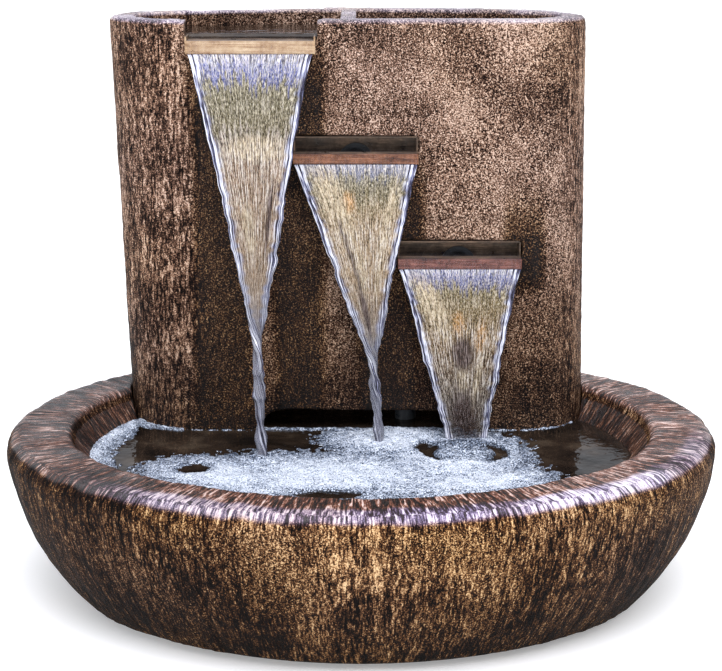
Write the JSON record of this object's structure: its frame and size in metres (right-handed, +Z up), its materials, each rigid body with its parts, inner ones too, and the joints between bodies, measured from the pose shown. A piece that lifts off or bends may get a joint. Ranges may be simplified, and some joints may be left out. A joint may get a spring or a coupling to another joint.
{
  "type": "water fountain",
  "caption": "Cast stone water fountain: oval bowl, hollow tower with stepped copper spillways, and the pump, manifold, valves and hoses that feed them.",
  "frame": {"origin": "middle of the bowl's flat foot, on the surface it stands on", "axes": "+Z up, -Y towards the side the water falls on, +X to the right seen from that side"},
  "size_m": [0.6698, 0.5748, 0.535],
  "materials": {
    "cast_stone": "stained cast stone, combed and pitted, wet on the rim",
    "copper": "brown copper sheet, wet",
    "black_rubber": "matte",
    "dark_plastic": "moulded",
    "hose": "extruded vinyl",
    "steel": "stainless",
    "valve_plastic": "acetal",
    "lever_plastic": "moulded",
    "pump_plastic": "moulded",
    "shaft_ceramic": "ground",
    "dial_plastic": "moulded"
  },
  "bodies": {
    "root": {"bowl": "cast_stone", "tower": "cast_stone", "setting_pads": "black_rubber", "spillway_upper": "copper", "spillway_middle": "copper", "spillway_lower": "copper", "inlet_upper": "dark_plastic", "inlet_middle": "dark_plastic", "inlet_lower": "dark_plastic", "inlet_nuts": "dark_plastic", "inlet_washers": "black_rubber", "riser_hose": "hose", "hose_upper": "hose", "hose_middle": "hose", "hose_lower": "hose", "hose_clamps": "steel", "manifold": "dark_plastic", "pipe_clips": "steel", "clip_screws": "steel", "pump_motor": "pump_plastic", "pump_volute": "pump_plastic", "volute_seal": "black_rubber", "volute_screws": "steel", "impeller_shaft": "shaft_ceramic", "shaft_bushes": "black_rubber", "suction_cups": "black_rubber", "cord_gland": "black_rubber"},
    "impeller": {"impeller": "valve_plastic"},
    "intake_cage": {"intake_cage": "pump_plastic"},
    "flow_dial": {"flow_dial": "dial_plastic"},
    "valve_upper": {"valve_plug_upper": "valve_plastic", "valve_lever_upper": "lever_plastic"},
    "valve_middle": {"valve_plug_middle": "valve_plastic", "valve_lever_middle": "lever_plastic"},
    "valve_lower": {"valve_plug_lower": "valve_plastic", "valve_lever_lower": "lever_plastic"},
    "drain_stopper": {"drain_stopper": "black_rubber"}
  },
  "joints": [
    {"name": "impeller_spin", "type": "hinge", "parent": "root", "child": "impeller", "pos_m": [0.02, 0.104, 0.066], "axis": [1, 0, 0], "continuous": true},
    {"name": "cage_slide", "type": "slide", "parent": "root", "child": "intake_cage", "axis": [1, 0, 0], "range_m": [0, 0.02]},
    {"name": "dial_turn", "type": "hinge", "parent": "intake_cage", "child": "flow_dial", "pos_m": [0.073, 0.104, 0.066], "axis": [1, 0, 0], "range_deg": [0, 90]},
    {"name": "valve_upper_turn", "type": "hinge", "parent": "root", "child": "valve_upper", "pos_m": [-0.07, 0.118, 0.213], "axis": [0, -1, 0], "range_deg": [0, 90]},
    {"name": "valve_middle_turn", "type": "hinge", "parent": "root", "child": "valve_middle", "pos_m": [-0.005, 0.118, 0.213], "axis": [0, 1, 0], "range_deg": [0, 90]},
    {"name": "valve_lower_turn", "type": "hinge", "parent": "root", "child": "valve_lower", "pos_m": [0.096, 0.118, 0.213], "axis": [0, 1, 0], "range_deg": [0, 90]},
    {"name": "stopper_pull", "type": "slide", "parent": "root", "child": "drain_stopper", "axis": [0, 0, 1], "range_m": [0, 0.03]}
  ]
}
